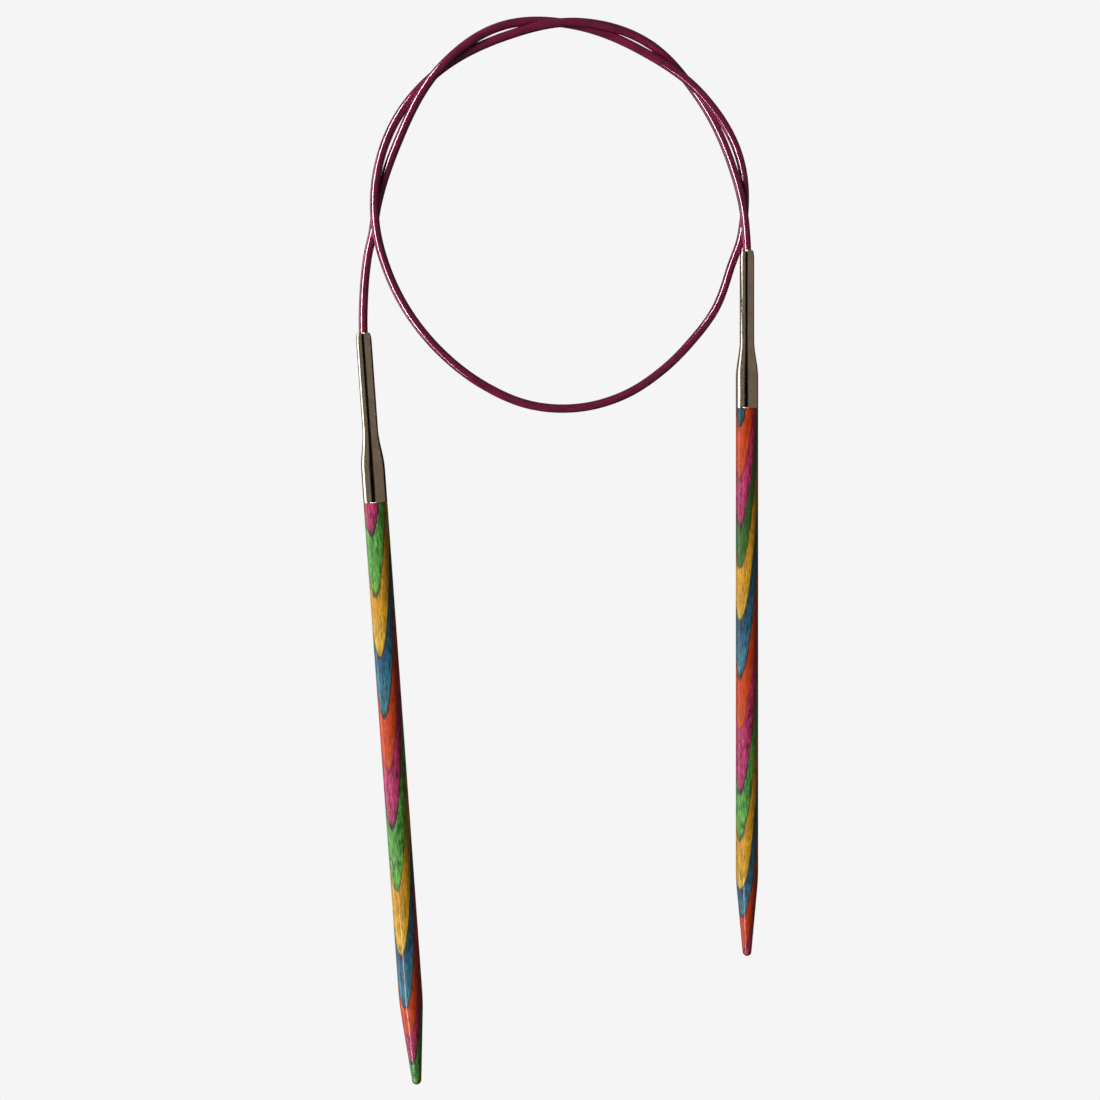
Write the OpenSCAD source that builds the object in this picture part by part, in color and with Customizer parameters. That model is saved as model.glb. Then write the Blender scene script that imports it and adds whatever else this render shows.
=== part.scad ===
// Fixed circular knitting needle: two laminated birch tips in metal ferrules,
// joined by one nylon cable that lies in a wound coil of one and a half turns.
// Millimetres. +Z is up from the table, +Y runs from the points to the coil.
// The origin is on the table, under the middle of the two tips.

/* [Wooden tips] */
// Length of each rigid tip, from the mouth of its ferrule to its point
tip_len = 127; // [115:1:135]
// Diameter of the wooden shaft, which is the needle's size
needle_d = 4; // [3.75:0.25:4.5]
// Length of the tapered point
point_len = 14; // [10:0.5:20]
// Radius of the rounded end of the point
point_r = 0.8; // [0.5:0.05:1]
// Length of the turned tenon that is glued into the ferrule
tenon_len = 5.7; // [4:0.1:5.7]
// Diameter of the tenon
tenon_d = 3.2; // [2.8:0.05:3.2]

/* [Ferrules] */
// Length of the whole ferrule
ferrule_len = 28.5; // [28.5:0.5:32]
// Outside diameter of the slim neck on the cable
neck_d = 2.6; // [2.5:0.05:2.9]
// Length of the slim neck, with its rounded nose
neck_len = 16; // [15:0.5:16]
// Length of the flare from the neck to the full diameter
flare_len = 7; // [5:0.5:8]
// Outside diameter of the rim round the cable
mouth_d = 2; // [1.9:0.05:2.2]

/* [Cable] */
// Diameter of the nylon cable
cable_d = 1.5; // [1.3:0.05:1.5]
// Mean radius of the coil
coil_r = 33; // [32.8:0.1:33.4]

/* [Layout] */
// Sideways place of the left ferrule's mouth
left_x = -34.9; // [-36:0.1:-34.5]
// Place of the left ferrule's mouth along the part
left_y = 54.5; // [54:0.1:55]
// Angle by which the left tip leans towards the right tip
left_lean = 4.1; // [3:0.1:6]
// Sideways place of the right ferrule's mouth
right_x = 34.2; // [34.2:0.1:35]
// Place of the right ferrule's mouth along the part
right_y = 72.1; // [71.5:0.1:72.5]
// Place of the coil's centre along the part
coil_y = 77; // [76.8:0.1:77.2]

/* [Hidden] */

$fn = 96;

needle_r = needle_d / 2;
neck_r = neck_d / 2;
mouth_r = mouth_d / 2;
cable_r = cable_d / 2;

// Ferrule: clearances and the steps of its bore, measured from the mouth
run_gap = 0.05;
nose_len = 1.5;
chamber_r = 1.2;
chamber_start = 18.5;
chamber_cone = 1;
socket_r = tenon_d / 2 + run_gap;
socket_start = ferrule_len - 5.9;

// Crimped sleeve that holds the end of the cable in the chamber
sleeve_r = chamber_r - run_gap;
sleeve_bore_r = cable_r + 0.01;
sleeve_len = 4;
waist_depth = 0.12;
cable_in_ferrule = chamber_start + sleeve_len - 0.2;

// Edges
tenon_chamfer = 0.2;
shoulder_arc_r = 40;

// Heights of the cable's centreline on the table: lying, beside and over another strand
strand_gap = 0.15;
low = cable_r;
high = cable_d + cable_r + strand_gap;
mid = (low + high) / 2;

// Route of the cable, seen from above: clock angle round the coil's centre in degrees
// (0 is +Y, clockwise), distance outside the coil's mean radius, height of the centreline.
// It leaves the left ferrule, makes a first turn, then a half turn wound round the first.
free_route = [
    [-115, 5.4, 1.8],
    [-106, 2.5, 1.2],
    [-97, 0.2, low],
    [-71, -2.25, mid],
    [-43, -1.2, high],
    [-19, 0.3, mid],
    [5, 0.2, low],
    [27, -0.2, mid],
    [48, 0.8, high],
    [70, 2, mid],
    [93, 0.7, low],
    [104, -0.5, low],
    [118, -0.5, low],
    [132, -0.8, low],
    [146, -0.4, low],
    [160, 0.4, low],
    [175, 1, low],
    [190, 1.1, low],
    [205, 0.5, low],
    [220, 0, low],
    [235, -0.2, low],
    [249, -0.1, 1.3],
    [263, 0.2, high],
    [289, -0.4, mid],
    [317, -1.3, low],
    [341, -1.5, mid],
    [365, 0.2, high],
    [387, 1.6, mid],
    [408, 0.9, low],
    [430, 0.1, mid],
    [449, 0.6, high],
];

// Clock angles of the places where the cable bends when a tip moves
left_swing_at = -108;
left_lift_at = -117.5;
right_swing_at = 452.5;
right_lift_at = 456;
// Half of the opening in the cable's solid at each bend, in degrees of clock angle
left_opening = 0.75;
right_opening = 0.55;

ring_step = 7.5;
tube_sides = 8;

// Mouth of each ferrule and the way its tip points
left_mouth = [left_x, left_y, needle_r];
right_mouth = [right_x, right_y, needle_r];
left_way = [sin(left_lean), -cos(left_lean), 0];
right_way = [0, -1, 0];

// Route row of a point: clock angle (with a number of whole turns), offset, height
function row_of(p, turns) = [
    atan2(p[0], p[1] - coil_y) + 360 * turns,
    norm([p[0], p[1] - coil_y]) - coil_r,
    p[2]
];

// The whole route: a row inside each ferrule makes the cable leave it straight
route = concat(
    [row_of(left_mouth + 5 * left_way, 0), row_of(left_mouth, 0)],
    free_route,
    [row_of(right_mouth, 1), row_of(right_mouth + 5 * right_way, 1)]
);
left_mouth_at = route[1][0];
right_mouth_at = route[len(route) - 2][0];

// Index of the route row that starts the span which holds a clock angle
function span_of(angle, i = 1) =
    angle <= route[i + 1][0] || i == len(route) - 3 ? i : span_of(angle, i + 1);

// Rate of change of column k at row i, per degree
function rate(i, k) = (route[i + 1][k] - route[i - 1][k]) / (route[i + 1][0] - route[i - 1][0]);

// Column k of the route at a clock angle, as a smooth cubic between its rows
function along(angle, k) =
    let (
        i = span_of(angle),
        w = route[i + 1][0] - route[i][0],
        t = (angle - route[i][0]) / w
    )
    (1 + 2 * t) * (1 - t) * (1 - t) * route[i][k]
    + t * (1 - t) * (1 - t) * w * rate(i, k)
    + t * t * (3 - 2 * t) * route[i + 1][k]
    - t * t * (1 - t) * w * rate(i + 1, k);

// Centre of the cable at a clock angle; it never sinks into the table
function spot(angle) =
    let (r = coil_r + along(angle, 1))
    [r * sin(angle), coil_y + r * cos(angle), max(low, along(angle, 2))];

// Even clock angles from a to b, both included
function clock_steps(a, b) =
    let (n = ceil((b - a) / ring_step))
    [for (i = [0:n]) a + (b - a) * i / n];

function unit(v) = v / norm(v);

// One ring of a tube's corners round a centre, square to a direction
function tube_ring(centre, way) =
    let (
        side = unit(cross(way, [0, 0, 1])),
        top = cross(side, way)
    )
    [for (k = [0:tube_sides - 1])
        let (a = 360 * k / tube_sides)
        centre + cable_r * (sin(a) * side + cos(a) * top)];

// Closed tube of the cable's diameter through a list of centres
module cable_tube(centres) {
    last = len(centres) - 1;
    ways = [for (i = [0:last]) unit(centres[min(i + 1, last)] - centres[max(i - 1, 0)])];
    corners = [for (i = [0:last]) each tube_ring(centres[i], ways[i])];
    walls = [
        for (i = [0:last - 1])
            for (k = [0:tube_sides - 1])
                let (
                    n = (k + 1) % tube_sides,
                    a = i * tube_sides,
                    b = a + tube_sides
                )
                each [[a + k, b + k, b + n], [a + k, b + n, a + n]]
    ];
    start_cap = [for (k = [0:tube_sides - 1]) k];
    end_cap = [for (k = [tube_sides - 1:-1:0]) last * tube_sides + k];
    polyhedron(points = corners, faces = concat(walls, [start_cap, end_cap]));
}

// A tip is drawn along +Z from its ferrule's mouth, then laid on the table
module lay_tip(mouth, lean) {
    translate(mouth)
        rotate([90, 0, lean])
            children();
}

// Cone angle of the point: the cone touches its round end and starts at full diameter
point_run = point_len - point_r;
point_reach = norm([needle_r, point_run]);
point_cone = acos(point_r / point_reach) - atan2(point_run, needle_r);
shoulder_run = shoulder_arc_r * tan(point_cone / 2);
point_steps = 6;

// Half outline of the wooden shaft: tenon, gauge stretch, eased shoulder, cone, round end
module shaft_outline() {
    tenon_r = tenon_d / 2;
    tenon_end = ferrule_len - tenon_len;
    cone_start = tip_len - point_len;
    shoulder = [for (i = [0:point_steps])
        let (a = point_cone * i / point_steps)
        [needle_r - shoulder_arc_r * (1 - cos(a)),
         cone_start - shoulder_run + shoulder_arc_r * sin(a)]];
    round_end = [for (i = [0:point_steps])
        let (a = point_cone + (90 - point_cone) * i / point_steps)
        [point_r * cos(a), tip_len - point_r + point_r * sin(a)]];
    polygon(concat(
        [[0, tenon_end],
         [tenon_r - tenon_chamfer, tenon_end],
         [tenon_r, tenon_end + tenon_chamfer],
         [tenon_r, ferrule_len],
         [needle_r, ferrule_len]],
        shoulder,
        round_end
    ));
}

module shaft() {
    rotate_extrude() shaft_outline();
}

// Half outline of the ferrule's wall: rounded nose, neck, flare, straight end, stepped bore
module ferrule_outline() {
    nose_steps = 6;
    flare_steps = 12;
    nose = [for (i = [0:nose_steps])
        let (a = 90 * i / nose_steps)
        [mouth_r + (neck_r - mouth_r) * sin(a), nose_len * (1 - cos(a))]];
    flare = [for (i = [0:flare_steps])
        let (u = i / flare_steps)
        [neck_r + (needle_r - neck_r) * (1 - cos(180 * u)) / 2, neck_len + flare_len * u]];
    polygon(concat(
        [[cable_r + run_gap, 0]],
        nose,
        flare,
        [[needle_r, ferrule_len],
         [socket_r, ferrule_len],
         [socket_r, socket_start],
         [chamber_r, socket_start],
         [chamber_r, chamber_start],
         [cable_r + run_gap, chamber_start - chamber_cone]]
    ));
}

module ferrule() {
    rotate_extrude() ferrule_outline();
}

// Brass sleeve pressed on the end of the cable, with a waist where the tool closed it
module crimp_sleeve() {
    waist_steps = 8;
    waist = [for (i = [0:waist_steps])
        let (u = i / waist_steps)
        [sleeve_r - waist_depth * (1 - cos(360 * u)) / 2, chamber_start + sleeve_len * u]];
    rotate_extrude()
        polygon(concat(
            [[sleeve_bore_r, chamber_start]],
            waist,
            [[sleeve_bore_r, chamber_start + sleeve_len]]
        ));
}

// Nylon cable: the wound coil, from the left tip's bend to the right tip's bend
module cable_coil() {
    color([0.45, 0.1, 0.29])
        cable_tube([for (a = clock_steps(left_swing_at + left_opening, right_swing_at - right_opening))
            spot(a)]);
}

// Nylon cable: the short stretch between the places where the left tip swings and lifts
module left_cable_bend() {
    color([0.45, 0.1, 0.29])
        cable_tube([for (a = clock_steps(left_lift_at + left_opening, left_swing_at - left_opening))
            spot(a)]);
}

// Nylon cable: its left end, through the ferrule's bore into the crimped sleeve
module left_cable_end() {
    color([0.45, 0.1, 0.29])
        cable_tube([
            left_mouth + cable_in_ferrule * left_way,
            left_mouth,
            spot(left_lift_at - left_opening)
        ]);
}

module left_crimp_sleeve() {
    color([0.78, 0.62, 0.3]) lay_tip(left_mouth, left_lean) crimp_sleeve();
}

module left_ferrule() {
    color([0.62, 0.59, 0.53]) lay_tip(left_mouth, left_lean) ferrule();
}

module left_shaft() {
    color([0.75, 0.4, 0.2]) lay_tip(left_mouth, left_lean) shaft();
}

// Nylon cable: the short stretch between the places where the right tip swings and lifts
module right_cable_bend() {
    color([0.45, 0.1, 0.29])
        cable_tube([for (a = clock_steps(right_swing_at + right_opening, right_lift_at - right_opening))
            spot(a)]);
}

// Nylon cable: its right end, through the ferrule's bore into the crimped sleeve
module right_cable_end() {
    color([0.45, 0.1, 0.29])
        cable_tube([
            spot(right_lift_at + right_opening),
            right_mouth,
            right_mouth + cable_in_ferrule * right_way
        ]);
}

module right_crimp_sleeve() {
    color([0.78, 0.62, 0.3]) lay_tip(right_mouth, 0) crimp_sleeve();
}

module right_ferrule() {
    color([0.62, 0.59, 0.53]) lay_tip(right_mouth, 0) ferrule();
}

module right_shaft() {
    color([0.7, 0.35, 0.3]) lay_tip(right_mouth, 0) shaft();
}

cable_coil();
left_cable_bend();
left_cable_end();
left_crimp_sleeve();
left_ferrule();
left_shaft();
right_cable_bend();
right_cable_end();
right_crimp_sleeve();
right_ferrule();
right_shaft();
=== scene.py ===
"""Looks of a fixed circular knitting needle: laminated birch tips, nickel-plated ferrules, one nylon cable.

Everything is in metres in the CAD's own frame. Sizes are written in millimetres, as a maker gives them.
"""

import logging
import math
from dataclasses import dataclass
from enum import Enum

import bpy
from mathutils import Euler, Matrix, Vector


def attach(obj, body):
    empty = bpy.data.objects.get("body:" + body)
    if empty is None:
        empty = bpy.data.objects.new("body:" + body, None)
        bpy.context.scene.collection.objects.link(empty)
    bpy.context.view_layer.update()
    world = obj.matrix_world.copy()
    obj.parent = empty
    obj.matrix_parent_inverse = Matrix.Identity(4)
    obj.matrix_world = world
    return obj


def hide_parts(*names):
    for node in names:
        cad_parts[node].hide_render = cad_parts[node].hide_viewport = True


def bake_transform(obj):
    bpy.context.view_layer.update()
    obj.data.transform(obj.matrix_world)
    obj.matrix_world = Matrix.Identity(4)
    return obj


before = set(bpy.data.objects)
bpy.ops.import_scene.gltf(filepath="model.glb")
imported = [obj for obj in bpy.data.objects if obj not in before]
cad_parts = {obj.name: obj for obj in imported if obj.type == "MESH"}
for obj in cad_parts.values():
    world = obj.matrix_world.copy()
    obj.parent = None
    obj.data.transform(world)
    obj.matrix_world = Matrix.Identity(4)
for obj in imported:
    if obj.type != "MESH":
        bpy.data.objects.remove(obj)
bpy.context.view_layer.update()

LOG = logging.getLogger("circular_needle")
MM = 0.001
Socket = bpy.types.NodeSocket
Outline = list[tuple[float, float]]


class Dye(Enum):
    """The dyes of the veneers, in the order in which the mill stacks them."""

    MAGENTA = "magenta"
    GREEN = "green"
    AMBER = "amber"
    BLUE = "blue"
    ORANGE = "orange"


class Tone(Enum):
    """How much dye a veneer took, as the brightness that it leaves."""

    DEEP = 0.4
    FULL = 1.0


@dataclass(frozen=True)
class DyeBath:
    """Colours that one dye gives birch, as sRGB hex."""

    # Where a veneer's tongue starts, towards its end, and at the glue line after it
    start: str
    end: str
    line: str


DYE_BATHS: dict[Dye, DyeBath] = {
    Dye.MAGENTA: DyeBath("#B83464", "#A63060", "#3A2A28"),
    Dye.GREEN: DyeBath("#4F9440", "#5C9C3E", "#4A5628"),
    Dye.AMBER: DyeBath("#CC9020", "#D0A428", "#343A2E"),
    Dye.BLUE: DyeBath("#1E4C6C", "#387888", "#2E2A2C"),
    Dye.ORANGE: DyeBath("#CC400C", "#C44812", "#882428"),
}


class Side(Enum):
    """The two tips."""

    LEFT = "left"
    RIGHT = "right"


def linear(colour: str) -> tuple[float, float, float, float]:
    """Turns an sRGB hex colour into linear values.

    Args:
        colour: Six hex digits after a hash sign.

    Returns:
        Linear red, green and blue, and an alpha of 1.
    """
    parts = [int(colour[i : i + 2], 16) / 255 for i in (1, 3, 5)]
    red, green, blue = (c / 12.92 if c <= 0.04045 else ((c + 0.055) / 1.055) ** 2.4 for c in parts)
    return red, green, blue, 1.0


def add_node(
    tree: bpy.types.NodeTree,
    kind: str,
    values: dict[str | int, object] | None = None,
    links: dict[str | int, Socket] | None = None,
    **settings: object,
) -> bpy.types.Node:
    """Adds one shader node with its settings, socket values and links.

    Args:
        tree: Node tree that takes the node.
        kind: Blender's type name of the node.
        values: Input sockets, by name or number, and the value of each.
        links: Input sockets, by name or number, and the output that feeds each.
        **settings: Properties of the node itself.

    Returns:
        The new node.
    """
    node = tree.nodes.new(kind)
    for name, value in settings.items():
        setattr(node, name, value)
    for socket, value in (values or {}).items():
        node.inputs[socket].default_value = value
    for socket, source in (links or {}).items():
        tree.links.new(source, node.inputs[socket])
    return node


def new_material(name: str) -> tuple[bpy.types.Material, bpy.types.NodeTree]:
    """Makes an empty node material.

    Args:
        name: Name of the finish.

    Returns:
        The material and its node tree.
    """
    material = bpy.data.materials.new(name)
    material.use_nodes = True
    material.node_tree.nodes.clear()
    return material, material.node_tree


def mesh_object(
    name: str,
    points: list[Vector],
    faces: list[tuple[int, ...]],
    crease: float = 30.0,
) -> bpy.types.Object:
    """Makes a smooth-shaded object from points and faces.

    Args:
        name: Name of the piece.
        points: Corners in metres.
        faces: Corner numbers of each face.
        crease: Angle in degrees above which an edge stays sharp.

    Returns:
        The new object, linked to the scene.
    """
    mesh = bpy.data.meshes.new(name)
    mesh.from_pydata(points, [], faces)
    mesh.polygons.foreach_set("use_smooth", [True] * len(mesh.polygons))
    mesh.update()
    mesh.set_sharp_from_angle(angle=math.radians(crease))
    piece = bpy.data.objects.new(name, mesh)
    bpy.context.scene.collection.objects.link(piece)
    return piece


def arc(centre: tuple[float, float], radius: float, start: float, end: float, steps: int) -> Outline:
    """Points of an arc in an outline's plane.

    Args:
        centre: Distance from the axis and place along it, in millimetres.
        radius: Radius in millimetres.
        start: First angle in degrees, 0 away from the axis and 90 towards the point.
        end: Last angle in degrees.
        steps: Number of spans.

    Returns:
        The arc's points, both ends included.
    """
    angles = [math.radians(start + (end - start) * i / steps) for i in range(steps + 1)]
    return [(centre[0] + radius * math.cos(a), centre[1] + radius * math.sin(a)) for a in angles]


def turn(name: str, outline: Outline, segments: int = 96, closed: bool = False) -> bpy.types.Object:
    """Turns an outline round the +Z axis, as on a lathe.

    Args:
        name: Name of the piece.
        outline: Distances from the axis and places along it, in millimetres.
        segments: Number of faces round the axis.
        closed: True for a wall whose last point joins its first, False for a solid bar
            whose outline starts and ends on the axis.

    Returns:
        The turned piece.
    """
    rim = outline if closed else outline[1:-1]
    points = []
    for radius, height in rim:
        for k in range(segments):
            a = 2 * math.pi * k / segments
            points.append(Vector((radius * math.cos(a), radius * math.sin(a), height)) * MM)
    faces: list[tuple[int, ...]] = []
    spans = len(rim) if closed else len(rim) - 1
    for i in range(spans):
        low, high = i * segments, ((i + 1) % len(rim)) * segments
        for k in range(segments):
            n = (k + 1) % segments
            faces.append((low + k, low + n, high + n, high + k))
    if not closed:
        first, last = len(points), len(points) + 1
        points += [Vector((0, 0, outline[0][1])) * MM, Vector((0, 0, outline[-1][1])) * MM]
        top = (len(rim) - 1) * segments
        for k in range(segments):
            n = (k + 1) % segments
            faces.append((first, n, k))
            faces.append((last, top + k, top + n))
    return mesh_object(name, points, faces)


@dataclass(frozen=True)
class CableRoute:
    """Centreline of the nylon cable as it lies wound on the table, in millimetres.

    A row is a clock angle round the coil's centre in degrees (0 is +Y, clockwise from above),
    a distance outside the coil's mean radius, and the height of the centreline.
    """

    radius: float = 0.75
    coil_radius: float = 33.0
    centre_y: float = 77.0
    low: float = 0.75
    high: float = 2.4
    left_mouth: tuple[float, float, float] = (-34.9, 54.5, 2.0)
    right_mouth: tuple[float, float, float] = (34.2, 72.1, 2.0)
    left_lean: float = 4.1
    inside: float = 22.3

    @property
    def left_way(self) -> Vector:
        """Direction in which the left tip points."""
        return Vector((math.sin(math.radians(self.left_lean)), -math.cos(math.radians(self.left_lean)), 0))

    @property
    def right_way(self) -> Vector:
        """Direction in which the right tip points."""
        return Vector((0, -1, 0))

    def free_rows(self) -> list[tuple[float, float, float]]:
        """Rows between the two ferrules: a first turn, then a half turn wound round the first.

        Returns:
            Clock angle, offset and height of each row.
        """
        low, high = self.low, self.high
        mid = (low + high) / 2
        return [
            (-115, 5.4, 1.8), (-106, 2.5, 1.2), (-97, 0.2, low), (-71, -2.25, mid), (-43, -1.2, high),
            (-19, 0.3, mid), (5, 0.2, low), (27, -0.2, mid), (48, 0.8, high), (70, 2, mid),
            (93, 0.7, low), (104, -0.5, low), (118, -0.5, low), (132, -0.8, low), (146, -0.4, low),
            (160, 0.4, low), (175, 1, low), (190, 1.1, low), (205, 0.5, low), (220, 0, low),
            (235, -0.2, low), (249, -0.1, 1.3), (263, 0.2, high), (289, -0.4, mid), (317, -1.3, low),
            (341, -1.5, mid), (365, 0.2, high), (387, 1.6, mid), (408, 0.9, low), (430, 0.1, mid),
            (449, 0.6, high),
        ]

    def row_of(self, point: Vector, turns: int) -> tuple[float, float, float]:
        """Route row of a point.

        Args:
            point: Place in millimetres.
            turns: Whole turns to add to its clock angle.

        Returns:
            Clock angle, offset and height.
        """
        away = Vector((point.x, point.y - self.centre_y))
        return math.degrees(math.atan2(away.x, away.y)) + 360 * turns, away.length - self.coil_radius, point.z

    def rows(self) -> list[tuple[float, float, float]]:
        """All rows: one more inside each ferrule makes the cable leave it straight."""
        left, right = Vector(self.left_mouth), Vector(self.right_mouth)
        start = [self.row_of(left + 5 * self.left_way, 0), self.row_of(left, 0)]
        end = [self.row_of(right, 1), self.row_of(right + 5 * self.right_way, 1)]
        return start + self.free_rows() + end

    def spot(self, angle: float) -> Vector:
        """Centre of the cable at a clock angle, in millimetres.

        Args:
            angle: Clock angle in degrees.

        Returns:
            The point on the smooth cubic between the rows; it never sinks into the table.
        """
        rows = self.rows()
        i = 1
        while angle > rows[i + 1][0] and i < len(rows) - 3:
            i += 1
        width = rows[i + 1][0] - rows[i][0]
        t = (angle - rows[i][0]) / width

        def rate(j: int, k: int) -> float:
            """Change of column k at row j, per degree."""
            return (rows[j + 1][k] - rows[j - 1][k]) / (rows[j + 1][0] - rows[j - 1][0])

        def along(k: int) -> float:
            """Column k of the route at the angle."""
            return (
                (1 + 2 * t) * (1 - t) ** 2 * rows[i][k]
                + t * (1 - t) ** 2 * width * rate(i, k)
                + t * t * (3 - 2 * t) * rows[i + 1][k]
                - t * t * (1 - t) * width * rate(i + 1, k)
            )

        reach = self.coil_radius + along(1)
        a = math.radians(angle)
        return Vector((reach * math.sin(a), self.centre_y + reach * math.cos(a), max(self.low, along(2))))

    def stretch(self, start: float, end: float, step: float = 1.0) -> list[Vector]:
        """Centres from one clock angle to another, in millimetres.

        Args:
            start: First clock angle in degrees.
            end: Last clock angle in degrees.
            step: Largest step in degrees.

        Returns:
            The centres, both ends included.
        """
        count = math.ceil((end - start) / step)
        return [self.spot(start + (end - start) * i / count) for i in range(count + 1)]


@dataclass(frozen=True)
class Veneer:
    """One dyed veneer of the stack, as its tongue shows on the turned rod."""

    dye: Dye
    # Where its tongue ends, in mm from the ferrule's mouth
    end: float
    tone: Tone = Tone.FULL

    def colours(self) -> list[tuple[float, float, float, float]]:
        """Linear colours at its start, towards its end, and at both sides of its glue line."""
        bath = DYE_BATHS[self.dye]
        bodies = []
        for hex_colour in (bath.start, bath.end):
            red, green, blue = (c * self.tone.value for c in linear(hex_colour)[:3])
            bodies.append((red, green, blue, 1.0))
        return [*bodies, linear(bath.line), linear(bath.line)]


@dataclass(frozen=True)
class LaminatedBirch:
    """Dyed birch veneers, glued in a stack, turned to a rod at a slant and lacquered.

    To the eye: coloured tongues that point along the tip, fine pale fibres and dark pores
    along it, dark glue lines between the veneers, deeper colour on the flanks, partly the dyes'
    own deeper hue where the fibres meet the surface end on and partly painted shade on the sides
    turned from the light, and a thin clear gloss.
    """

    name: str
    # Veneers from the ferrule to the point
    stack: tuple[Veneer, ...]
    # Turn of the tongues round the rod, in degrees from the top towards the left
    slant_turn: float
    # Length along the rod in which a veneer crosses one millimetre of it
    slant: float
    rod_radius: float = 2.0
    # Half of the thickness of a glue line, in mm along the rod
    bleed: float = 0.3
    # Strength of the flanks' deeper colour: partly the dyes' own deeper hue, partly painted shade
    flank_dye_and_shade: float = 1.2
    # Contrast of the grain through the light and the dark dyes, and its mean brightness
    soft_grain: float = 3.6
    strong_grain: float = 6.8
    grain_mean: float = 1.26

    def build(self) -> bpy.types.Material:
        """Makes the material; it reads the tip's own coordinates, with +Z from ferrule to point.

        Returns:
            The finished material.
        """
        material, tree = new_material(self.name)
        place = add_node(tree, "ShaderNodeTexCoord").outputs["Object"]
        mm = add_node(
            tree, "ShaderNodeVectorMath", {1: (1000, 1000, 1000)}, {0: place}, operation="MULTIPLY"
        ).outputs[0]
        turn_angle = math.radians(self.slant_turn)
        tongue_way = Vector((-math.sin(turn_angle), math.cos(turn_angle), 0))
        layer = add_node(
            tree, "ShaderNodeVectorMath", {1: Vector((0, 0, 1)) - tongue_way * self.slant}, {0: mm},
            operation="DOT_PRODUCT",
        ).outputs["Value"]
        # Fibres are about 0.2 mm wide and 1.4 mm long
        fibre_place = add_node(
            tree, "ShaderNodeVectorMath", {1: (5.2, 5.2, 0.7)}, {0: mm}, operation="MULTIPLY"
        ).outputs[0]
        fibre = add_node(
            tree, "ShaderNodeTexNoise",
            {"Scale": 1.0, "Detail": 4.0, "Roughness": 0.65}, {"Vector": fibre_place},
        ).outputs["Fac"]
        # Clouds of dye, about 1.5 mm wide and 5 mm long
        cloud_place = add_node(
            tree, "ShaderNodeVectorMath", {1: (0.7, 0.7, 0.2)}, {0: mm}, operation="MULTIPLY"
        ).outputs[0]
        cloud = add_node(
            tree, "ShaderNodeTexNoise",
            {"Scale": 1.0, "Detail": 2.0, "Roughness": 0.5}, {"Vector": cloud_place},
        ).outputs["Fac"]
        # The veneers' edges wander by some tenths of a millimetre and fray along the fibres
        wander = add_node(tree, "ShaderNodeMath", {1: 1.8, 2: -0.9}, {0: cloud}, operation="MULTIPLY_ADD")
        fray = add_node(tree, "ShaderNodeMath", {1: 1.6, 2: -0.8}, {0: fibre}, operation="MULTIPLY_ADD")
        edge = add_node(
            tree, "ShaderNodeMath", {}, {0: wander.outputs[0], 1: fray.outputs[0]}, operation="ADD"
        ).outputs[0]
        depth = add_node(tree, "ShaderNodeMath", {}, {0: layer, 1: edge}, operation="ADD").outputs[0]
        dyed = self.dyed_stack(tree, depth)

        # Deeper colour away from the tongues' middle line: partly the dye that the end-on fibres drink,
        # partly painted shade on the flanks turned from the light
        reach = add_node(tree, "ShaderNodeVectorMath", {1: tongue_way}, {0: mm}, operation="DOT_PRODUCT")
        deepen = add_node(
            tree, "ShaderNodeMapRange",
            {"From Min": 1.75, "From Max": 0.6, "To Min": 1.0, "To Max": self.flank_dye_and_shade},
            {"Value": reach.outputs["Value"]},
        ).outputs["Result"]
        deep = add_node(tree, "ShaderNodeGamma", {}, {"Color": dyed, "Gamma": deepen}).outputs[0]
        # The grain shows more through the blue, magenta and green dyes than through amber and orange
        blue_share = add_node(tree, "ShaderNodeSeparateColor", {}, {"Color": dyed}).outputs["Blue"]
        contrast = add_node(
            tree, "ShaderNodeMapRange",
            {"From Min": 0.015, "From Max": 0.045, "To Min": self.soft_grain, "To Max": self.strong_grain},
            {"Value": blue_share},
        ).outputs["Result"]
        grain = add_node(tree, "ShaderNodeMath", {1: 0.51}, {0: fibre}, operation="SUBTRACT").outputs[0]
        fleck = add_node(
            tree, "ShaderNodeMath", {2: self.grain_mean}, {0: grain, 1: contrast}, operation="MULTIPLY_ADD"
        ).outputs[0]
        tone = add_node(
            tree, "ShaderNodeMapRange",
            {"From Min": 0.3, "From Max": 0.7, "To Min": 0.88, "To Max": 1.12}, {"Value": cloud},
        ).outputs["Result"]
        mottled = add_node(tree, "ShaderNodeMath", {}, {0: fleck, 1: tone}, operation="MULTIPLY").outputs[0]
        shade = add_node(tree, "ShaderNodeMath", {1: 0.04}, {0: mottled}, operation="MAXIMUM").outputs[0]
        wood = add_node(
            tree, "ShaderNodeVectorMath", {}, {0: deep, "Scale": shade}, operation="SCALE"
        ).outputs[0]
        bump = add_node(tree, "ShaderNodeBump", {"Strength": 0.3, "Distance": 0.02 * MM}, {"Height": fibre})
        shader = add_node(
            tree, "ShaderNodeBsdfPrincipled",
            {"Roughness": 0.55, "IOR": 1.45, "Coat Weight": 0.35, "Coat Roughness": 0.12, "Coat IOR": 1.5},
            {"Base Color": wood, "Normal": bump.outputs[0]},
        )
        add_node(tree, "ShaderNodeOutputMaterial", links={"Surface": shader.outputs[0]})
        return material

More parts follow.
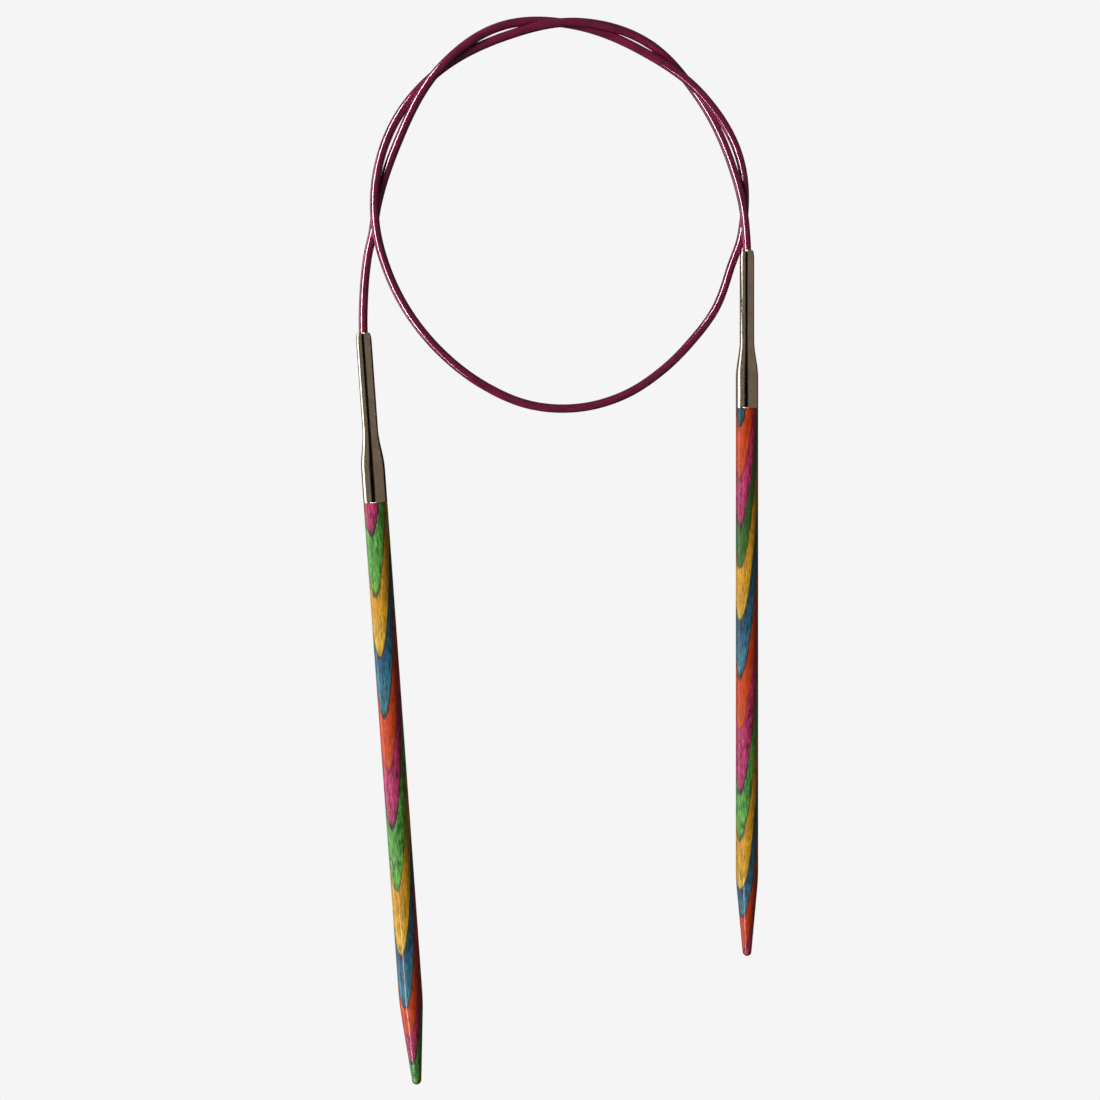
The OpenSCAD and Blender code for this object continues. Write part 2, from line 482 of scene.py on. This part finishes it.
    def dyed_stack(self, tree: bpy.types.NodeTree, depth: Socket) -> Socket:
        """Adds the colours of the stack as two ramps, one for each half of it.

        Args:
            tree: Node tree of the material.
            depth: Place in the stack, in mm along the rod.

        Returns:
            The colour at that place.
        """
        half = len(self.stack) // 2
        start = self.stack[0].end - 12.0
        middle = self.stack[half - 1].end
        first = self.dye_ramp(tree, depth, self.stack[:half], start)
        second = self.dye_ramp(tree, depth, self.stack[half:], middle)
        offset = self.slant * self.rod_radius
        beyond = add_node(tree, "ShaderNodeMath", {1: middle - offset}, {0: depth}, operation="GREATER_THAN")
        return add_node(
            tree, "ShaderNodeMix", {}, {0: beyond.outputs[0], 6: first, 7: second}, data_type="RGBA"
        ).outputs[2]

    def dye_ramp(
        self, tree: bpy.types.NodeTree, depth: Socket, veneers: tuple[Veneer, ...], start: float
    ) -> Socket:
        """Adds one ramp with four stops a veneer.

        Args:
            tree: Node tree of the material.
            depth: Place in the stack, in mm along the rod.
            veneers: Veneers of the ramp.
            start: Where the first of them starts, in mm from the ferrule's mouth.

        Returns:
            The colour of the ramp.
        """
        offset = self.slant * self.rod_radius
        total = veneers[-1].end + self.bleed - start
        share = add_node(
            tree, "ShaderNodeMapRange",
            {"From Min": start - offset, "From Max": start + total - offset}, {"Value": depth},
        ).outputs["Result"]
        node = add_node(tree, "ShaderNodeValToRGB", {}, {"Fac": share})
        stops = []
        near = start
        for veneer in veneers:
            places = (
                near + 2 * self.bleed,
                veneer.end - 2.5 * self.bleed,
                veneer.end - self.bleed,
                veneer.end + self.bleed,
            )
            stops += zip(places, veneer.colours())
            near = veneer.end
        ramp = node.color_ramp
        for index, (where, colour) in enumerate(stops):
            stop = ramp.elements[index] if index < 2 else ramp.elements.new(1.0)
            stop.position = (where - start) / total
            stop.color = colour
        return node.outputs["Color"]


@dataclass(frozen=True)
class NickelPlate:
    """Nickel plated on drawn brass tube and polished round on a mop.

    To the eye: a bright, slightly warm mirror with very fine rings round it and faint smears.
    """

    name: str = "polished_nickel_plate"
    colour: str = "#D4CDC0"
    smear: str = "#C6BCA9"
    roughness: float = 0.11

    def build(self) -> bpy.types.Material:
        """Makes the material.

        Returns:
            The finished material.
        """
        material, tree = new_material(self.name)
        place = add_node(tree, "ShaderNodeTexCoord").outputs["Object"]
        mm = add_node(
            tree, "ShaderNodeVectorMath", {1: (1000, 1000, 1000)}, {0: place}, operation="MULTIPLY"
        ).outputs[0]
        # Polishing rings: real ones are about 0.02 mm apart, drawn 0.15 mm apart so that they show
        ring_place = add_node(
            tree, "ShaderNodeVectorMath", {1: (0.25, 0.25, 7.0)}, {0: mm}, operation="MULTIPLY"
        ).outputs[0]
        rings = add_node(
            tree, "ShaderNodeTexNoise",
            {"Scale": 1.0, "Detail": 3.0, "Roughness": 0.65}, {"Vector": ring_place},
        ).outputs["Fac"]
        smears = add_node(
            tree, "ShaderNodeTexNoise", {"Scale": 0.5, "Detail": 3.0, "Roughness": 0.6}, {"Vector": mm}
        ).outputs["Fac"]
        tint = add_node(
            tree, "ShaderNodeMapRange", {"From Min": 0.4, "From Max": 0.7}, {"Value": smears}
        ).outputs["Result"]
        base = add_node(
            tree, "ShaderNodeMix",
            {6: linear(self.colour), 7: linear(self.smear)}, {0: tint}, data_type="RGBA",
        ).outputs[2]
        rough = add_node(
            tree, "ShaderNodeMapRange",
            {
                "From Min": 0.3,
                "From Max": 0.75,
                "To Min": self.roughness - 0.03,
                "To Max": self.roughness + 0.07,
            },
            {"Value": smears},
        ).outputs["Result"]
        # Orange-peel of the plating, about 0.3 mm wide
        peel = add_node(
            tree, "ShaderNodeTexNoise", {"Scale": 3.2, "Detail": 3.0, "Roughness": 0.7}, {"Vector": mm}
        ).outputs["Fac"]
        relief = add_node(
            tree, "ShaderNodeMath", {1: 0.6}, {0: rings, 2: peel}, operation="MULTIPLY_ADD"
        ).outputs[0]
        bump = add_node(tree, "ShaderNodeBump", {"Strength": 0.8, "Distance": 0.02 * MM}, {"Height": relief})
        shader = add_node(
            tree, "ShaderNodeBsdfPrincipled", {"Metallic": 1.0},
            {"Base Color": base, "Roughness": rough, "Normal": bump.outputs[0]},
        )
        add_node(tree, "ShaderNodeOutputMaterial", links={"Surface": shader.outputs[0]})
        return material


@dataclass(frozen=True)
class PressedBrass:
    """Bare brass of the crimp sleeves, drawn and pressed.

    To the eye: yellow metal, satin, with darker patches of tarnish.
    """

    name: str = "pressed_brass"
    colour: str = "#D9B866"
    dull: str = "#9C7A3A"

    def build(self) -> bpy.types.Material:
        """Makes the material.

        Returns:
            The finished material.
        """
        material, tree = new_material(self.name)
        place = add_node(tree, "ShaderNodeTexCoord").outputs["Object"]
        # Patches of tarnish about 1 mm wide
        tarnish = add_node(
            tree, "ShaderNodeTexNoise", {"Scale": 1000.0, "Detail": 4.0, "Roughness": 0.6}, {"Vector": place}
        ).outputs["Fac"]
        base = add_node(
            tree, "ShaderNodeMix",
            {6: linear(self.colour), 7: linear(self.dull)}, {0: tarnish}, data_type="RGBA",
        ).outputs[2]
        rough = add_node(
            tree, "ShaderNodeMapRange", {"To Min": 0.25, "To Max": 0.45}, {"Value": tarnish}
        ).outputs["Result"]
        bump = add_node(tree, "ShaderNodeBump", {"Strength": 0.2, "Distance": 0.01 * MM}, {"Height": tarnish})
        shader = add_node(
            tree, "ShaderNodeBsdfPrincipled", {"Metallic": 1.0},
            {"Base Color": base, "Roughness": rough, "Normal": bump.outputs[0]},
        )
        add_node(tree, "ShaderNodeOutputMaterial", links={"Surface": shader.outputs[0]})
        return material


@dataclass(frozen=True)
class ExtrudedNylon:
    """Wine-purple nylon, extruded as one solid strand.

    To the eye: a deep glossy plastic with faint draw lines along it and small scuffs.
    """

    name: str = "extruded_nylon"
    colour: str = "#A02256"
    deep: str = "#7A1641"

    def build(self) -> bpy.types.Material:
        """Makes the material; it reads the strand's own map, around and along in millimetres.

        Returns:
            The finished material.
        """
        material, tree = new_material(self.name)
        strand = add_node(tree, "ShaderNodeUVMap", uv_map="strand").outputs["UV"]
        # Draw lines: about 0.1 mm apart round the strand and 8 mm long
        line_place = add_node(
            tree, "ShaderNodeVectorMath", {1: (9.0, 0.12, 1.0)}, {0: strand}, operation="MULTIPLY"
        ).outputs[0]
        lines = add_node(
            tree, "ShaderNodeTexNoise",
            {"Scale": 1.0, "Detail": 2.0, "Roughness": 0.6}, {"Vector": line_place},
        ).outputs["Fac"]
        cloud = add_node(
            tree, "ShaderNodeTexNoise", {"Scale": 0.3, "Detail": 3.0, "Roughness": 0.6}, {"Vector": strand}
        ).outputs["Fac"]
        depth = add_node(
            tree, "ShaderNodeMapRange", {"From Min": 0.35, "From Max": 0.65}, {"Value": cloud}
        ).outputs["Result"]
        base = add_node(
            tree, "ShaderNodeMix",
            {6: linear(self.colour), 7: linear(self.deep)}, {0: depth}, data_type="RGBA",
        ).outputs[2]
        rough = add_node(
            tree, "ShaderNodeMapRange",
            {"From Min": 0.3, "From Max": 0.7, "To Min": 0.07, "To Max": 0.13}, {"Value": cloud},
        ).outputs["Result"]
        bump = add_node(tree, "ShaderNodeBump", {"Strength": 0.06, "Distance": 0.01 * MM}, {"Height": lines})
        shader = add_node(
            tree, "ShaderNodeBsdfPrincipled", {"IOR": 1.53},
            {"Base Color": base, "Roughness": rough, "Normal": bump.outputs[0]},
        )
        add_node(tree, "ShaderNodeOutputMaterial", links={"Surface": shader.outputs[0]})
        return material


@dataclass(frozen=True)
class NylonCable:
    """The one cable, made as stretches that meet end to end near the tips."""

    route: CableRoute
    sides: int = 28
    # Clock angles of the cuts at each bend, the coil's own end first
    left_cuts: tuple[float, float] = (-103.0, -112.75)
    right_cuts: tuple[float, float] = (446.5, 455.0)

    def strand(self, name: str, centres: list[Vector], start_at: float = 0.0) -> bpy.types.Object:
        """Sweeps the round section along centres.

        Args:
            name: Name of the piece.
            centres: Centres in millimetres.
            start_at: Place of the first centre along the map, in millimetres.

        Returns:
            A closed strand with a map "strand": around and along, in millimetres.
        """
        last = len(centres) - 1
        ways = [(centres[min(i + 1, last)] - centres[max(i - 1, 0)]).normalized() for i in range(last + 1)]
        points: list[Vector] = []
        around = self.sides
        for centre, way in zip(centres, ways):
            side = way.cross(Vector((0, 0, 1))).normalized()
            top = side.cross(way)
            for k in range(around):
                a = 2 * math.pi * k / around
                points.append((centre + self.route.radius * (math.sin(a) * side + math.cos(a) * top)) * MM)
        faces: list[tuple[int, ...]] = []
        for i in range(last):
            for k in range(around):
                n = (k + 1) % around
                low, high = i * around, (i + 1) * around
                faces.append((low + k, high + k, high + n, low + n))
        faces.append(tuple(range(around)))
        faces.append(tuple(last * around + k for k in reversed(range(around))))
        piece = mesh_object(name, points, faces, crease=40.0)
        self.map_strand(piece, centres, start_at)
        return piece

    def map_strand(self, piece: bpy.types.Object, centres: list[Vector], start_at: float) -> None:
        """Writes the map "strand" on a swept piece.

        Args:
            piece: Piece made by strand().
            centres: Its centres in millimetres.
            start_at: Place of the first centre along the map, in millimetres.
        """
        along = [start_at]
        for a, b in zip(centres, centres[1:]):
            along.append(along[-1] + (b - a).length)
        girth = 2 * math.pi * self.route.radius
        layer = piece.data.uv_layers.new(name="strand")
        for face in piece.data.polygons:
            corners = [piece.data.loops[j].vertex_index for j in face.loop_indices]
            wraps = len(corners) == 4 and {v % self.sides for v in corners} == {0, self.sides - 1}
            for j, v in zip(face.loop_indices, corners):
                k = v % self.sides
                turn_share = 1.0 if wraps and k == 0 else k / self.sides
                layer.data[j].uv = (girth * turn_share, along[v // self.sides])

    def build(self, nylon: bpy.types.Material) -> list[bpy.types.Object]:
        """Args:
            nylon: Finish of the cable.

        Returns:
            The stretches.
        """
        r = self.route
        rows = r.rows()
        left_mouth_at, right_mouth_at = rows[1][0], rows[-2][0]
        depths = (1, 2, 4, r.inside * 0.5, r.inside * 0.75, r.inside)
        left_in = [Vector(r.left_mouth) + r.left_way * depth for depth in reversed(depths)]
        right_in = [Vector(r.right_mouth) + r.right_way * depth for depth in depths]
        left_outer, left_inner = self.left_cuts[1], self.left_cuts[0]
        right_inner, right_outer = self.right_cuts
        coil_centres = r.stretch(left_inner, right_inner)
        coil = self.strand("coiled_cable", coil_centres, 15.0)
        left_swing = self.strand("left_cable_swing", r.stretch(left_outer, left_inner, 0.4))
        left_lift = self.strand("left_cable_lift", left_in + r.stretch(left_mouth_at, left_outer, 0.4))
        right_swing = self.strand("right_cable_swing", r.stretch(right_inner, right_outer, 0.4))
        right_lift = self.strand("right_cable_lift", r.stretch(right_outer, right_mouth_at, 0.4) + right_in)
        pieces = [coil, left_swing, left_lift, right_swing, right_lift]
        for piece in pieces:
            piece.data.materials.append(nylon)
        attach(coil, "cable")
        left_from, left_cut = r.spot(left_inner) * MM, r.spot(left_outer) * MM
        right_from, right_cut = r.spot(right_inner) * MM, r.spot(right_outer) * MM
        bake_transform(left_swing)
        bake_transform(left_lift)
        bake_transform(right_swing)
        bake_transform(right_lift)
        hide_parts("cable_coil")
        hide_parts("left_cable_bend")
        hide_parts("left_cable_end")
        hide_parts("right_cable_bend")
        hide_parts("right_cable_end")
        return pieces


@dataclass(frozen=True)
class NeedleTip:
    """One rigid tip: the wooden shaft, glued by its tenon into the ferrule. Sizes in millimetres."""

    side: Side
    mouth: tuple[float, float, float]
    lean: float
    length: float = 127.0
    shaft_radius: float = 2.0
    point_length: float = 14.0
    point_radius: float = 0.8
    shoulder_arc: float = 40.0
    tenon_radius: float = 1.6
    tenon_length: float = 5.7
    ferrule_length: float = 28.5
    neck_radius: float = 1.3
    neck_length: float = 16.0
    flare_length: float = 7.0
    mouth_radius: float = 1.0
    nose_length: float = 1.5
    bore_radius: float = 0.8
    chamber_radius: float = 1.2
    chamber_start: float = 18.5
    socket_radius: float = 1.65
    socket_depth: float = 5.9
    # The ferrule's end and the wood's shoulder are broken by a light touch of the file
    joint_edge: float = 0.14

    @property
    def body(self) -> str:
        """Name of the CAD body that the tip rides on."""
        return f"{self.side.value}_tip"

    def lay(self, piece: bpy.types.Object) -> None:
        """Lays a piece, made along +Z from the mouth, on the table and fixes it to its body.

        Args:
            piece: Piece in the tip's own coordinates.
        """
        turn_on = Euler((math.radians(90), 0, math.radians(self.lean))).to_matrix().to_4x4()
        piece.matrix_world = Matrix.Translation(Vector(self.mouth) * MM) @ turn_on
        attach(piece, self.body)

    def shaft_outline(self) -> Outline:
        """Half outline of the wood: tenon, straight shaft, eased shoulder, cone, round end."""
        run = self.point_length - self.point_radius
        reach = math.hypot(self.shaft_radius, run)
        cone = math.acos(self.point_radius / reach) - math.atan2(run, self.shaft_radius)
        cone_deg = math.degrees(cone)
        ease = self.shoulder_arc * math.tan(cone / 2)
        cone_start = self.length - self.point_length
        tenon_end = self.ferrule_length - self.tenon_length
        edge = self.joint_edge
        shoulder_centre = (self.shaft_radius - self.shoulder_arc, cone_start - ease)
        wood_start = self.ferrule_length + edge
        straight = [
            (self.shaft_radius, wood_start + (shoulder_centre[1] - wood_start) * i / 40) for i in range(1, 40)
        ]
        shoulder = arc(shoulder_centre, self.shoulder_arc, 0, cone_deg, 12)
        tip = arc((0, self.length - self.point_radius), self.point_radius, cone_deg, 90, 24)
        reach_r, reach_z = shoulder[-1]
        end_r, end_z = tip[0]
        flank = [
            (reach_r + (end_r - reach_r) * i / 12, reach_z + (end_z - reach_z) * i / 12) for i in range(1, 12)
        ]
        return (
            [
                (0, tenon_end),
                (self.tenon_radius - 0.2, tenon_end),
                (self.tenon_radius, tenon_end + 0.2),
                (self.tenon_radius, self.ferrule_length),
            ]
            + arc((self.shaft_radius - edge, self.ferrule_length + edge), edge, -90, 0, 5)
            + straight
            + shoulder
            + flank
            + tip[:-1]
            + [(0, self.length)]
        )

    def ferrule_outline(self) -> Outline:
        """Half outline of the ferrule's wall: nose, neck, flare, straight end, stepped bore."""
        nose_steps, flare_steps = 16, 40
        nose = []
        for i in range(nose_steps + 1):
            a = math.radians(90 * i / nose_steps)
            reach = self.mouth_radius + (self.neck_radius - self.mouth_radius) * math.sin(a)
            nose.append((reach, self.nose_length * (1 - math.cos(a))))
        flare = []
        for i in range(flare_steps + 1):
            u = i / flare_steps
            swell = (self.shaft_radius - self.neck_radius) * (1 - math.cos(math.pi * u)) / 2
            flare.append((self.neck_radius + swell, self.neck_length + self.flare_length * u))
        edge = self.joint_edge
        socket_start = self.ferrule_length - self.socket_depth
        return (
            [(self.bore_radius, 0.06), (self.bore_radius + 0.06, 0)]
            + nose
            + flare
            + arc((self.shaft_radius - edge, self.ferrule_length - edge), edge, 0, 90, 5)
            + [
                (self.socket_radius, self.ferrule_length),
                (self.socket_radius, socket_start),
                (self.chamber_radius, socket_start),
                (self.chamber_radius, self.chamber_start),
                (self.bore_radius, self.chamber_start - 1),
            ]
        )

    def build(
        self, birch: bpy.types.Material, nickel: bpy.types.Material, brass: bpy.types.Material
    ) -> bpy.types.Object:
        """Makes, lays and dresses the shaft and the ferrule, and dresses the crimp sleeve.

        Args:
            birch: Finish of the wooden shaft.
            nickel: Finish of the ferrule.
            brass: Finish of the crimp sleeve inside the ferrule.

        Returns:
            The ferrule.
        """
        name = self.side.value
        shaft = turn(f"{name}_birch_shaft", self.shaft_outline())
        ferrule = turn(f"{name}_nickel_ferrule", self.ferrule_outline(), closed=True)
        for piece, finish, slot, node in (
            (shaft, birch, "laminated_birch", f"{name}_shaft"),
            (ferrule, nickel, "nickel_plate", f"{name}_ferrule"),
        ):
            self.lay(piece)
            piece.data.materials.append(finish)
            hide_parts(node)
            LOG.info("%s: %d faces", piece.name, len(piece.data.polygons))
        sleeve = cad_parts[f"{name}_crimp_sleeve"]
        sleeve.data.materials.clear()
        sleeve.data.materials.append(brass)
        LOG.info("%s: finish only", sleeve.name)
        return ferrule


@dataclass(frozen=True)
class Studio:
    """Camera, soft lights and a plain pale sweep. Sizes in metres."""

    camera_at: tuple[float, float, float] = (-0.06598, 0.0182, 0.23878)
    look_at: tuple[float, float, float] = (-0.002, 0.0182, 0.0)
    lens: float = 46.26
    pale: str = "#F5F5F5"

    def place_camera(self) -> None:
        """Sets the camera, 15 degrees off the vertical, with the coil at the top of the view."""
        data = bpy.data.cameras.new("camera")
        data.lens = self.lens
        data.sensor_width = 36.0
        data.clip_start = 0.01
        data.clip_end = 20.0
        camera = bpy.data.objects.new("camera", data)
        bpy.context.scene.collection.objects.link(camera)
        back = (Vector(self.camera_at) - Vector(self.look_at)).normalized()
        up = Vector((0, 1, 0))
        right = up.cross(back).normalized()
        turned = Matrix((right, up, back)).transposed().to_4x4()
        camera.matrix_world = Matrix.Translation(self.camera_at) @ turned
        bpy.context.scene.camera = camera

    def light(
        self,
        name: str,
        at: tuple[float, float, float],
        size: tuple[float, float],
        power: float,
        colour: str,
        lights_diffuse: bool,
        shows_in_gloss: bool,
        only: list[bpy.types.Object] | None = None,
    ) -> None:
        """Adds one soft rectangular light that faces the needle.

        Args:
            name: Name of the light.
            at: Its place.
            size: Its two sides, the second as near to +Y as its aim allows.
            power: Its power in watts.
            colour: Hex colour.
            lights_diffuse: Whether it lights matt surfaces.
            shows_in_gloss: Whether it shows in reflections.
            only: Pieces that it lights, or None for all.
        """
        data = bpy.data.lights.new(name, "AREA")
        data.shape = "RECTANGLE"
        data.size, data.size_y = size
        data.energy = power
        data.color = linear(colour)[:3]
        lamp = bpy.data.objects.new(name, data)
        bpy.context.scene.collection.objects.link(lamp)
        aim = Vector((0.0, 0.03, 0.0))
        back = (Vector(at) - aim).normalized()
        right = Vector((0, 1, 0)).cross(back).normalized()
        up = back.cross(right)
        lamp.matrix_world = Matrix.Translation(at) @ Matrix((right, up, back)).transposed().to_4x4()
        lamp.visible_camera = False
        lamp.visible_diffuse = lights_diffuse
        lamp.visible_glossy = shows_in_gloss
        if only:
            lit = bpy.data.collections.new(f"{name}_pieces")
            for piece in only:
                lit.objects.link(piece)
            lamp.light_linking.receiver_collection = lit

    def sweep(self) -> None:
        """Makes the pale floor, which rises into a wall all round and closes overhead."""
        flat, top = 1.2, 1.6
        outline: Outline = [(0, 0), (0.4, 0), (0.8, 0), (flat, 0)]
        outline += arc((flat, top / 2), top / 2, -85, 90, 24)
        outline += [(flat * 0.5, top), (0, top)]
        scaled = [(reach / MM, height / MM) for reach, height in outline]
        floor = turn("studio_sweep", scaled, segments=64)
        floor.data.flip_normals()
        material, tree = new_material("matt_paper")
        glow = add_node(tree, "ShaderNodeEmission", {"Color": linear(self.pale), "Strength": 1.0})
        add_node(tree, "ShaderNodeOutputMaterial", links={"Surface": glow.outputs[0]})
        floor.data.materials.append(material)
        floor.visible_diffuse = False
        floor.visible_glossy = False
        floor.visible_shadow = False

    def card(self, name: str, azimuth: float, wide: float, far: float = 0.5) -> None:
        """Hangs a long dark card, seen only in reflections: the dark lines in polished metal.

        Args:
            name: Name of the card.
            azimuth: Its direction from the needle, in degrees from overhead towards the left.
            wide: Its width, in degrees seen from the needle.
            far: Its distance.
        """
        half_wide, half_long = far * math.tan(math.radians(wide / 2)), 0.6
        corners = [Vector((x * half_wide, y * half_long, 0)) for x, y in ((-1, -1), (1, -1), (1, 1), (-1, 1))]
        card = mesh_object(name, corners, [(0, 1, 2, 3)])
        turn_to = math.radians(azimuth)
        place = Vector((-far * math.sin(turn_to), 0.03, far * math.cos(turn_to)))
        card.matrix_world = Matrix.Translation(place) @ Matrix.Rotation(-turn_to, 4, "Y")
        material, tree = new_material(f"{name}_felt")
        felt = add_node(tree, "ShaderNodeEmission", {"Color": linear("#0C0A09"), "Strength": 1.0})
        add_node(tree, "ShaderNodeOutputMaterial", links={"Surface": felt.outputs[0]})
        card.data.materials.append(material)
        card.visible_camera = False
        card.visible_diffuse = False
        card.visible_shadow = False

    def surround(self) -> None:
        """Sets the warm grey room that shows in gloss."""
        world = bpy.data.worlds.new("warm_grey_room")
        bpy.context.scene.world = world
        world.use_nodes = True
        tree = world.node_tree
        tree.nodes.clear()
        glow = add_node(tree, "ShaderNodeBackground", {"Color": (0.214, 0.176, 0.141, 1), "Strength": 1.0})
        add_node(tree, "ShaderNodeOutputWorld", links={"Surface": glow.outputs[0]})
        world.cycles_visibility.diffuse = False

    def build(self, cable: list[bpy.types.Object], ferrules: list[bpy.types.Object]) -> None:
        """Makes the lights, the floor and the room.

        Args:
            cable: Pieces that take the cable's thin highlight.
            ferrules: Pieces that take the bright rings at the ferrules' ends.
        """
        self.sweep()
        self.card("camera_card", 27.0, 40.0)
        self.card("strip_card", 96.0, 10.0)
        self.card("right_card", -135.0, 60.0)
        self.surround()
        self.light("key", (-0.47, 0.03, 0.25), (0.3, 0.5), 2.6, "#FFFFFF", True, False)
        self.light("low_fill", (0.40, 0.03, -0.35), (0.4, 0.6), 0.7, "#FFFFFF", True, False)
        self.light("soft_fill", (0.0, 0.03, 0.6), (0.6, 0.6), 0.25, "#FFFFFF", True, False)
        self.light("strip", (-0.55, 0.03, -0.26), (0.26, 0.9), 2.1, "#FFFFFF", False, True)
        self.light("cable_glint", (-0.41, 0.15, 0.29), (0.15, 1.0), 20.0, "#FFF4FA", False, True, cable)
        self.light("point_glint", (-0.37, -0.33, 0.23), (0.07, 0.3), 1.6, "#FFFFFF", False, True)
        self.light("mouth_glint", (-0.12, 0.54, 0.24), (0.3, 0.25), 0.7, "#FFFFFF", False, True, ferrules)
        self.light("end_glint", (-0.13, -0.5, 0.2), (0.4, 0.3), 1.2, "#FFFFFF", False, True, ferrules)


BIRCH_LEFT = LaminatedBirch(
    name="laminated_birch_left",
    stack=(
        Veneer(Dye.MAGENTA, 34.0),
        Veneer(Dye.GREEN, 43.9),
        Veneer(Dye.AMBER, 54.3),
        Veneer(Dye.BLUE, 64.1),
        Veneer(Dye.ORANGE, 73.4),
        Veneer(Dye.MAGENTA, 82.9),
        Veneer(Dye.GREEN, 93.9),
        Veneer(Dye.AMBER, 104.7),
        Veneer(Dye.BLUE, 113.9),
        Veneer(Dye.ORANGE, 122.9),
        Veneer(Dye.MAGENTA, 131.0),
        Veneer(Dye.GREEN, 141.0),
        Veneer(Dye.AMBER, 151.0),
        Veneer(Dye.BLUE, 165.0),
    ),
    slant_turn=41.0,
    slant=8.75,
)

BIRCH_RIGHT = LaminatedBirch(
    name="laminated_birch_right",
    stack=(
        Veneer(Dye.BLUE, 31.6, Tone.DEEP),
        Veneer(Dye.ORANGE, 41.2),
        Veneer(Dye.MAGENTA, 49.7),
        Veneer(Dye.GREEN, 57.3, Tone.DEEP),
        Veneer(Dye.AMBER, 67.0),
        Veneer(Dye.BLUE, 76.7),
        Veneer(Dye.ORANGE, 86.5),
        Veneer(Dye.MAGENTA, 97.2),
        Veneer(Dye.GREEN, 105.8),
        Veneer(Dye.AMBER, 116.3),
        Veneer(Dye.BLUE, 124.9),
        Veneer(Dye.ORANGE, 136.0),
        Veneer(Dye.MAGENTA, 145.0),
        Veneer(Dye.GREEN, 154.0),
        Veneer(Dye.AMBER, 166.0),
    ),
    slant_turn=63.0,
    slant=8.5,
)


def main() -> None:
    """Builds the studio, the cable and the two tips."""
    logging.basicConfig(level=logging.INFO, format="%(name)s: %(message)s")
    bpy.context.scene.view_settings.view_transform = "Standard"
    studio = Studio()
    studio.place_camera()
    route = CableRoute()
    cable = NylonCable(route).build(ExtrudedNylon().build())
    for piece in cable:
        LOG.info("%s: %d faces", piece.name, len(piece.data.polygons))
    nickel, brass = NickelPlate().build(), PressedBrass().build()
    left = NeedleTip(Side.LEFT, route.left_mouth, route.left_lean).build(BIRCH_LEFT.build(), nickel, brass)
    right = NeedleTip(Side.RIGHT, route.right_mouth, 0.0).build(BIRCH_RIGHT.build(), nickel, brass)
    studio.build(cable, [left, right])


if __name__ == "__main__":
    main()
